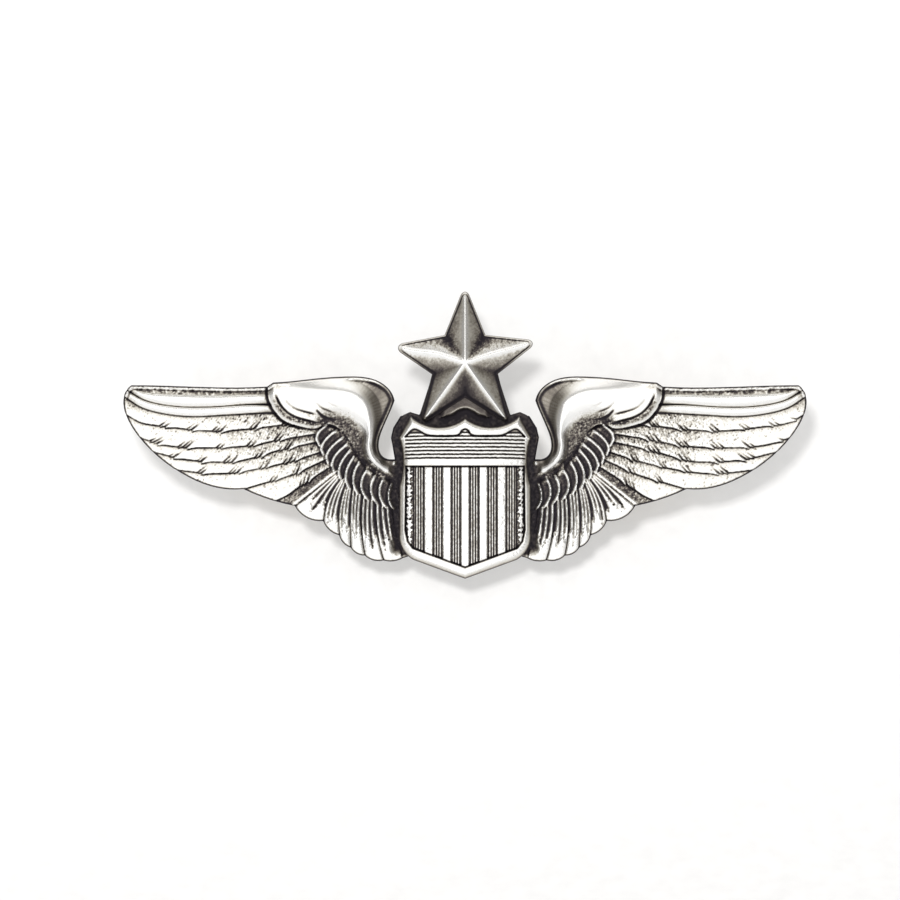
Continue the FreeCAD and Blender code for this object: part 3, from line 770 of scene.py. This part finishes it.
def shield_relief(grid, inside):
    """Rolled rim, an engraved chief under two swags, and seven raised stripes over fine threads."""
    rng = np.random.default_rng(7)
    grain, fine = grid.grain(rng, 0.16), grid.grain(rng, 0.08)
    x, z = grid.X, grid.Z
    relief = Relief(grid, SHIELD_RIM + 0.004 * grain, 0.93)
    field = grid.inside(np.array(FIELD), 2.0)
    stripes = np.zeros_like(x)
    for n in range(-STRIPE_PAIRS, STRIPE_PAIRS + 1):
        outer = abs(n) == STRIPE_PAIRS
        place = x - n * STRIPE_PITCH * (1.02 if outer else 1.0)
        ragged = (0.08 if outer else 0.010) * grain
        half = 0.24 + 0.07 * np.cos(2 * math.pi * z / 0.5) if outer else STRIPE_HALF
        stripes = np.maximum(stripes, smooth(half + 0.07, half - 0.07, np.abs(place) + ragged))
    across = np.abs((x / STRIPE_PITCH) % 1.0 - 0.5) * STRIPE_PITCH
    threads = smooth(-0.7, 0.6, np.cos(2 * math.pi * across / THREAD_PITCH)) * smooth(0.60, 0.54, across)
    threads = threads * (0.85 + 0.15 * np.clip(grain, -1, 1))
    floor = SHIELD_FIELD + 0.06 * threads
    beyond = smooth(5.75, 5.95, np.abs(x))
    floor_wear = mix(0.04 + 0.84 * threads, 0.50 + 0.15 * fine, beyond)
    height = mix(floor, STRIPE_TOP + 0.01 * grain, stripes)
    relief.lay(height, mix(floor_wear, 0.95, stripes), smooth(-0.02, 0.12, field))
    relief.mark(bell(field - 0.08, 0.10), -0.14, -0.75)
    path = [(-px, pz) for px, pz in SWAG_HALF[:0:-1]] + list(SWAG_HALF)
    swag, _, _ = grid.trace(curve(path, 6), 3.0)
    below = smooth(0.02, 0.16, -swag)
    phase = (z - CHIEF_TOP + 0.06 * smooth(4.0, 6.7, np.abs(x))) / CHIEF_PITCH + 0.03 * grain
    line = np.round(phase)
    cuts = bell((phase - line) * CHIEF_PITCH, 0.090) * (line <= 1.5) * (line > 0.5 - CHIEF_LINES)
    cuts = cuts * smooth(6.85, 6.6, np.abs(x)) * np.maximum(below, z < 1.7)
    relief.mark(cuts, -0.20, -0.85)
    relief.mark(bell(swag + 0.07, 0.10) * smooth(6.9, 6.6, np.abs(x)), -0.22, -0.85)
    relief.mark(bell(swag - 0.5, 0.45) * (z > 1.0), 0.07, 0.0)
    corner = smooth(0.0, 0.2, -swag) * smooth(1.75, 1.95, z)
    corner = corner * smooth(4.4, 5.0, np.abs(x)) * smooth(6.9, 6.6, np.abs(x))
    relief.lay(SHIELD_RIM - 0.20, 0.30, 0.6 * corner)
    # Painted shade on the rolled rim: darker towards the outline, along it, and just outside the field's
    # groove.
    relief.mark(smooth(0.72, 0.05, inside), 0.0, -0.42)
    relief.mark(bell(inside, 0.14), 0.0, -0.30)
    relief.mark(bell(field + 0.12, 0.16), 0.0, -0.14)
    relief.height = rounded_edge(relief.height - x ** 2 / (2 * SHIELD_DOME), inside, 0.60)
    return relief


def build_shield(material):
    """The shield, standing on the plate's flange."""
    (outline, *_), back = back_outline("shield")
    grid = grid_over(outline.min(axis=0), outline.max(axis=0), 0.055)
    inside = grid.inside(outline)
    shell = relief_shell(shield_relief(grid, inside), inside, back)
    shell.build("shield_relief", "shield", material)


# ---- star

STAR_RIM = 0.5           # thickness at the edge
STAR_RISE = 1.30         # how far the centre stands above the edge
STAR_INNER = 3.55        # centre to the corner between two arms
STAR_FULLER = 0.30       # how much fuller the struck star is than its drawn outline
TIP_BLEND = 0.45         # length over which each tip is rounded off
POINTS = 5


def arm_droop(x, z):
    """How much the struck star's side arms hang below a true star's, a little more on the viewer's left."""
    return (0.68 * smooth(2.5, 7.0, -x) + 0.20 * smooth(2.5, 7.0, x)) * smooth(-2.5, 0.0, z)


def star_relief(grid, centre, tip, inside):
    """A five-sided pyramid with a ridge to each tip, standing on a narrow rim."""
    rng = np.random.default_rng(9)
    grain, speck = grid.grain(rng, 0.14), grid.grain(rng, 0.07)
    x, z = grid.X - centre[0], grid.Z - centre[1]
    z = z + arm_droop(x, z)
    sector = 2 * math.pi / POINTS
    bearing = np.arctan2(x, z)
    angle = np.abs((bearing + sector / 2) % sector - sector / 2)
    radius = np.hypot(x, z)
    notch = np.array([math.cos(sector / 2), math.sin(sector / 2)]) * STAR_INNER
    normal = np.array([notch[1], tip - notch[0]])
    outward = (np.cos(angle) * normal[0] + np.sin(angle) * normal[1]) * radius
    reach = outward / (tip * normal[0]) / 1.07
    rise = np.clip(1.0 - reach, 0.0, 1.0)
    off_ridge = radius * np.sin(angle)
    off_valley = radius * np.sin(sector / 2 - angle)
    height = STAR_RIM + 0.16 + STAR_RISE * rise
    height += 0.10 * bell(off_ridge, 0.22) * smooth(0.0, 1.5, radius)
    height -= 0.10 * bell(off_valley, 0.3) * smooth(0.4, 2.0, radius)
    wear_and_shading = 0.62 + 0.37 * bell(off_ridge, 0.36) - 0.20 * bell(off_valley, 0.9) + 0.25 * bell(radius, 1.3)
    wear_and_shading -= 0.18 * smooth(0.5, 1.0, reach)
    away = np.maximum(radius, 0.3)
    # Painted light and shade: the upper facets of the side arms are lighter along their ridges, more on the
    # viewer's left, and darker in their valleys, with a speckle.
    upper = smooth(0.05, 0.45, z / away) * smooth(0.25, 0.65, np.abs(x) / away)
    upper_facet_shading = mix(0.32, 0.18, x > 0) * bell(off_ridge, 0.95) - 0.22 * bell(off_valley, 0.7)
    wear_and_shading += upper * (upper_facet_shading + 0.05 * grain + 0.06 * speck)
    wear_and_shading += 0.025 * speck
    # Painted shade: the two lower arms are darker except along their ridges.
    legs = smooth(-0.70, -0.90, z / away)
    wear_and_shading -= 0.16 * legs * (1 - bell(off_ridge, 0.3))
    relief = Relief(grid, blur(height, 1.3), wear_and_shading + 0.02 * grain)
    # Painted shade: the rim is lighter at the top of the star and darker towards its bottom, where its inner
    # dark line is wider.
    below = smooth(1.5, -1.5, z)
    relief.lay(STAR_RIM + 0.08, mix(0.80, 0.50, below), smooth(0.20, 0.10, inside))
    relief.mark(bell(inside - 0.24, mix(0.08, 0.15, below)), -0.10, -0.45)
    # Painted shade: a dark line along the rounded edge.
    relief.wear_and_shading = relief.wear_and_shading - 0.5 * smooth(0.10, 0.0, inside)
    relief.height = rounded_edge(relief.height, inside, 0.18)
    return relief


def build_star(material):
    """The star, a little fuller than its outline in the frame, with rounded tips."""
    (outline, *_), back = back_outline("star")
    low, high = outline.min(axis=0), outline.max(axis=0)
    # The side tips lie 18 degrees above level, which gives the tip radius from the star's width.
    tip = 0.5 * (high[0] - low[0]) / math.cos(math.radians(18))
    centre = (0.5 * (low[0] + high[0]), high[1] - tip)
    grid = grid_over(low, high, 0.055)
    outline = outline - centre
    outline[:, 1] -= arm_droop(*outline.T)
    from_centre = np.hypot(grid.X - centre[0], grid.Z - centre[1])
    shorter = 0.45 * arm_droop(grid.X - centre[0], grid.Z - centre[1])
    fuller = grid.inside(outline + centre) + STAR_FULLER
    to_tip = tip - shorter - from_centre
    rounding = np.maximum(TIP_BLEND - np.abs(fuller - to_tip), 0.0) ** 2 / (4 * TIP_BLEND)
    inside = np.minimum(fuller, to_tip) - rounding
    shell = relief_shell(star_relief(grid, centre, tip, inside), inside, back)
    shell.build("star_relief", "star", material)


# ---- materials

def nodes_for(name):
    """A new material with a Principled surface, its node tree and that surface."""
    material = bpy.data.materials.new(name)
    material.use_nodes = True
    tree = material.node_tree
    tree.nodes.clear()
    out = tree.nodes.new("ShaderNodeOutputMaterial")
    surface = tree.nodes.new("ShaderNodeBsdfPrincipled")
    tree.links.new(surface.outputs["BSDF"], out.inputs["Surface"])
    return material, tree, surface


def noise(tree, scale, detail=4.0, stretch=(1.0, 1.0, 1.0)):
    """Noise fixed to the object, scale in features per millimetre."""
    place = tree.nodes.new("ShaderNodeTexCoord")
    mapping = tree.nodes.new("ShaderNodeMapping")
    mapping.inputs["Scale"].default_value = [s * scale / MM for s in stretch]
    texture = tree.nodes.new("ShaderNodeTexNoise")
    texture.inputs["Scale"].default_value = 1.0
    texture.inputs["Detail"].default_value = detail
    tree.links.new(place.outputs["Object"], mapping.inputs["Vector"])
    tree.links.new(mapping.outputs["Vector"], texture.inputs["Vector"])
    return texture.outputs["Fac"]


def combine(tree, operation, a, b):
    """A maths node on two values, each a number or a socket."""
    node = tree.nodes.new("ShaderNodeMath")
    node.operation = operation
    for socket, value in zip(node.inputs, (a, b)):
        if isinstance(value, (int, float)):
            socket.default_value = value
        else:
            tree.links.new(value, socket)
    return node.outputs[0]


def centred(tree, texture, share):
    """The texture as a swing of this share round zero."""
    return combine(tree, "MULTIPLY", combine(tree, "SUBTRACT", texture, 0.5), share)


def weighted(tree, first, second, share=0.3):
    """The two textures added, the second one with this share."""
    first = combine(tree, "MULTIPLY", first, 1 - share)
    return combine(tree, "ADD", first, combine(tree, "MULTIPLY", second, share))


def grey(value):
    return (value, value, value)


def ramp(tree, value, stops):
    """A colour ramp with (position, colour) stops."""
    node = tree.nodes.new("ShaderNodeValToRGB")
    elements = node.color_ramp.elements
    while len(elements) < len(stops):
        elements.new(0.5)
    for element, (position, colour) in zip(elements, stops):
        element.position = position
        element.color = (*colour, 1.0)
    tree.links.new(value, node.inputs["Fac"])
    return node.outputs["Color"]


def bumped(tree, surface, height):
    """Fine roughness of struck and drawn metal, from a height texture."""
    node = tree.nodes.new("ShaderNodeBump")
    node.inputs["Distance"].default_value = 0.02 * MM
    node.inputs["Strength"].default_value = 0.5
    tree.links.new(height, node.inputs["Height"])
    tree.links.new(node.outputs["Normal"], surface.inputs["Normal"])


def mix_shaders(tree, share, first, second, out):
    """Sends the first shader to the output where share is 0 and the second where it is 1."""
    choose = tree.nodes.new("ShaderNodeMixShader")
    tree.links.new(share, choose.inputs["Fac"])
    tree.links.new(first.outputs[0], choose.inputs[1])
    tree.links.new(second.outputs[0], choose.inputs[2])
    tree.links.new(choose.outputs[0], out.inputs["Surface"])


def antique_silver():
    """Oxidised silver plate, rubbed bright where it stands proud, and lighter or darker where light and
    shade are painted into the relief's brightness values.
    """
    material, tree, surface = nodes_for("antique_silver_relief")
    polish_and_shading = tree.nodes.new("ShaderNodeAttribute")
    polish_and_shading.attribute_name = "polish_and_shading"
    fine = noise(tree, 9.0)
    blotch = noise(tree, 0.9)
    value = combine(tree, "ADD", polish_and_shading.outputs["Fac"], centred(tree, fine, 0.18))
    value = combine(tree, "ADD", value, centred(tree, blotch, 0.11))
    colour = ramp(tree, value, (
        (0.10, (0.018, 0.014, 0.020)),
        (0.30, (0.075, 0.063, 0.062)),
        (0.48, (0.265, 0.242, 0.210)),
        (0.64, (0.60, 0.575, 0.520)),
        (0.78, (0.83, 0.82, 0.79)),
        (0.92, (0.94, 0.94, 0.93)),
    ))
    rough = ramp(tree, value, ((0.1, grey(0.62)), (0.5, grey(0.42)), (0.85, grey(0.27))))
    metal = ramp(tree, value, ((0.15, grey(0.55)), (0.5, grey(1.0))))
    tree.links.new(colour, surface.inputs["Base Color"])
    tree.links.new(rough, surface.inputs["Roughness"])
    tree.links.new(metal, surface.inputs["Metallic"])
    scratches = noise(tree, 2.0, 6.0, (1.0, 1.0, 6.0))
    bumped(tree, surface, weighted(tree, fine, scratches))
    return material


def bright_metal(name, dark, light, roughness, grain):
    """Plated or drawn sheet metal: a base colour clouded by tarnish and fine drawn lines."""
    material, tree, surface = nodes_for(name)
    cloud = noise(tree, 0.7)
    lines = noise(tree, grain, 5.0, (1.0, 5.0, 1.0))
    value = weighted(tree, cloud, lines)
    colour = ramp(tree, value, ((0.36, dark), (0.58, light)))
    rough = ramp(tree, value, ((0.35, grey(roughness + 0.12)), (0.6, grey(roughness))))
    tree.links.new(colour, surface.inputs["Base Color"])
    tree.links.new(rough, surface.inputs["Roughness"])
    surface.inputs["Metallic"].default_value = 1.0
    bumped(tree, surface, lines)
    return material


# ---- posts and clutches

def dress_node(name, material, bevel):
    """Keeps a CAD node's shape, softens its edges and gives it its metal."""
    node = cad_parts[name]
    node.data.materials.clear()
    node.data.materials.append(material)
    soften = node.modifiers.new("softened_edges", "BEVEL")
    soften.width = bevel * MM
    soften.segments = 2
    soften.limit_method = "ANGLE"
    soften.angle_limit = math.radians(40)
    soften.harden_normals = True


FILLET_FOOT = 1.3        # radius at the plate
FILLET_TOP = 0.6         # radius where it meets the post
FILLET_RISE = 0.45       # low enough to stay clear of the keeper disc's bore when the clutch is pushed on


def solder_fillet(name, post, material):
    """The concave fillet of solder that joins a post's foot to the back of the plate."""
    low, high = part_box(post)
    x, z = 0.5 * (low.x + high.x) / MM, 0.5 * (low.z + high.z) / MM
    rng = np.random.default_rng(int(abs(x)) + (x > 0))
    turns, rings = 72, 10
    wander = rng.uniform(0, 6, 2)
    points, faces = [], []
    for ring in range(rings + 1):
        t = ring / rings
        out = FILLET_TOP + (FILLET_FOOT - FILLET_TOP) * (1 - math.sin(t * math.pi / 2))
        up = FILLET_RISE * (1 - math.cos(t * math.pi / 2))
        for n in range(turns):
            a = 2 * math.pi * n / turns
            uneven = 0.035 * math.sin(2 * a + wander[0]) + 0.02 * math.sin(5 * a + wander[1])
            radius = out * (1 + (1 - t) * uneven)
            points.append(((x + radius * math.cos(a)) * MM, up * MM, (z + radius * math.sin(a)) * MM))
    for ring in range(rings):
        for n in range(turns):
            m = (n + 1) % turns
            a, b = ring * turns + n, ring * turns + m
            faces.append([a, b, b + turns, a + turns])
    faces.append(list(range(turns))[::-1])
    faces.append([rings * turns + n for n in range(turns)])
    piece = add_object(name, smooth_mesh(name, points, faces, material, 60))
    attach(piece, "badge")


# ---- studio

COVE_TOP = 1200.0        # height of the wall
COVE_REACH = 2500.0      # how far the floor runs to each side, in front of the wall and behind it
FLOOR_Z = -51.5


def studio():
    """Pale cove behind and below the badge, soft lights, and the camera straight on."""
    scene = bpy.context.scene
    low, high = (np.array(c) / MM for c in cad_box)
    camera_data = bpy.data.cameras.new("camera")
    camera_data.lens, camera_data.sensor_width = 120.0, 36.0
    camera = add_object("camera", camera_data)
    shown_width = 101.3      # width of the view at the face of the badge
    aim_x = -1.69            # the badge sits a little right of the middle
    face = low[1] + 1.5      # the face of the wings, behind the front of the star
    distance = shown_width * camera_data.lens / camera_data.sensor_width
    camera.location = (aim_x * MM, (face - distance) * MM, 0.0)
    camera.rotation_euler = (math.pi / 2, 0.0, 0.0)
    camera_data.clip_start, camera_data.clip_end = 0.01, 5.0
    scene.camera = camera

    softbox(camera, "key", 0.40, 0.36, 1.12, (-0.02, 0.12), (1.0, 0.99, 0.975))
    shadow_lamp = softbox(camera, "shadow_lamp", 0.045, 0.045, 165.0, (-0.04, 0.085), (1.0, 0.99, 0.98))
    top = area_light("top", 0.5, 0.25, 0.9, (1.0, 0.99, 0.97))
    top.location = (0.0, -0.10, 0.35)
    top.rotation_euler = (math.radians(-16), 0.0, 0.0)

    cove = build_cove(high[1] + 0.05)
    # The lamp only casts the badge's shadow on the cove; the metal is lit by the soft boxes alone.
    lit = bpy.data.collections.new("lit_by_shadow_lamp")
    lit.objects.link(cove)
    shadow_lamp.light_linking.receiver_collection = lit
    world = bpy.data.worlds.new("studio")
    world.use_nodes = True
    scene.world = world
    tree = world.node_tree
    tree.nodes.clear()
    out = tree.nodes.new("ShaderNodeOutputWorld")
    seen = tree.nodes.new("ShaderNodeBackground")
    seen.inputs["Color"].default_value = (0.93, 0.93, 0.93, 1)
    room = tree.nodes.new("ShaderNodeBackground")
    room.inputs["Color"].default_value = (0.34, 0.33, 0.315, 1)
    path = tree.nodes.new("ShaderNodeLightPath")
    mix_shaders(tree, path.outputs["Is Camera Ray"], room, seen, out)
    view = scene.view_settings
    view.view_transform = "Standard"
    view.look = "None"
    view.exposure = 0.0


def softbox(camera, name, width, height, radiance, place, colour):
    """A light fixed beside the camera, place metres right and up of its axis, turned to the badge."""
    light = area_light(name, width, height, radiance, colour)
    light.parent = camera
    light.location = (*place, 0.02)
    badge = Vector((0.0, 0.0, -0.337))      # metres in front of the camera
    reach = badge - light.location
    light.rotation_euler = reach.to_track_quat("-Z", "Y").to_euler()
    return light


def area_light(name, width, height, radiance, colour):
    """A soft box of this size in metres that looks this bright."""
    data = bpy.data.lights.new(name, "AREA")
    data.shape = "RECTANGLE"
    data.size, data.size_y = width, height
    data.energy = radiance * math.pi * width * height
    data.color = colour
    return add_object(name, data)


def build_cove(wall_y, bend=60.0, steps=24):
    """A floor that curves up into the wall the badge lies against, and more floor behind the wall."""
    card = pale_card()
    profile = [(wall_y, COVE_TOP)]
    for n in range(steps + 1):
        a = n / steps * math.pi / 2
        profile.append((wall_y - bend * (1 - math.cos(a)), FLOOR_Z + bend * (1 - math.sin(a))))
    profile.append((-COVE_REACH, FLOOR_Z))
    sheet("rear_floor", [(COVE_REACH, FLOOR_Z), (wall_y - bend, FLOOR_Z - 0.1)], card)
    return sheet("cove", profile, card)


def sheet(name, profile, material):
    """A smooth sheet across the stage that follows a profile of (y, z) points."""
    points = [(x * MM, y * MM, z * MM) for y, z in profile for x in (-COVE_REACH, COVE_REACH)]
    faces = [[2 * n, 2 * n + 2, 2 * n + 3, 2 * n + 1] for n in range(len(profile) - 1)]
    piece = add_object(name, smooth_mesh(name, points, faces, material))
    return piece


def pale_card():
    """Matt white card, partly lit from within, and clear when seen from behind."""
    material, tree, surface = nodes_for("pale_card")
    mottle = noise(tree, 0.5)
    colour = ramp(tree, mottle, ((0.3, grey(0.43)), (0.7, grey(0.47))))
    tree.links.new(colour, surface.inputs["Base Color"])
    surface.inputs["Roughness"].default_value = 0.9
    surface.inputs["Specular IOR Level"].default_value = 0.1
    surface.inputs["Emission Color"].default_value = (1.0, 1.0, 1.0, 1.0)
    surface.inputs["Emission Strength"].default_value = 0.36
    geometry = tree.nodes.new("ShaderNodeNewGeometry")
    clear = tree.nodes.new("ShaderNodeBsdfTransparent")
    out = next(n for n in tree.nodes if n.type == "OUTPUT_MATERIAL")
    mix_shaders(tree, geometry.outputs["Backfacing"], surface, clear, out)
    return material


# ---- assembly

SEAT_DEPTH = 0.4         # of each post's head in the back of the wings


def main():
    silver = antique_silver()
    steel = bright_metal("post_steel", (0.42, 0.41, 0.39), (0.70, 0.69, 0.67), 0.30, 3.0)
    brass = bright_metal("clutch_brass", (0.60, 0.42, 0.17), (0.83, 0.64, 0.33), 0.24, 3.0)
    (outline, *seats), _ = back_outline("wings_plate")
    seat_loop = max(seats, key=lambda loop: loop[:, 0].mean())
    post_x = 0.5 * (seat_loop[:, 0].min() + seat_loop[:, 0].max())
    build_wings(silver, outline, 0.5 * np.ptp(seat_loop[:, 0]), SEAT_DEPTH, post_x)
    build_middle(silver, outline)
    build_shield(silver)
    build_star(silver)
    for side in ("left", "right"):
        dress_node(f"{side}_post", steel, 0.04)
        solder_fillet(f"{side}_solder_fillet", f"{side}_post", steel)
        for part in ("keeper_disc", "spring_cage", "outer_wing", "inner_wing"):
            dress_node(f"{side}_clutch_{part}", brass, 0.05)
    studio()


main()
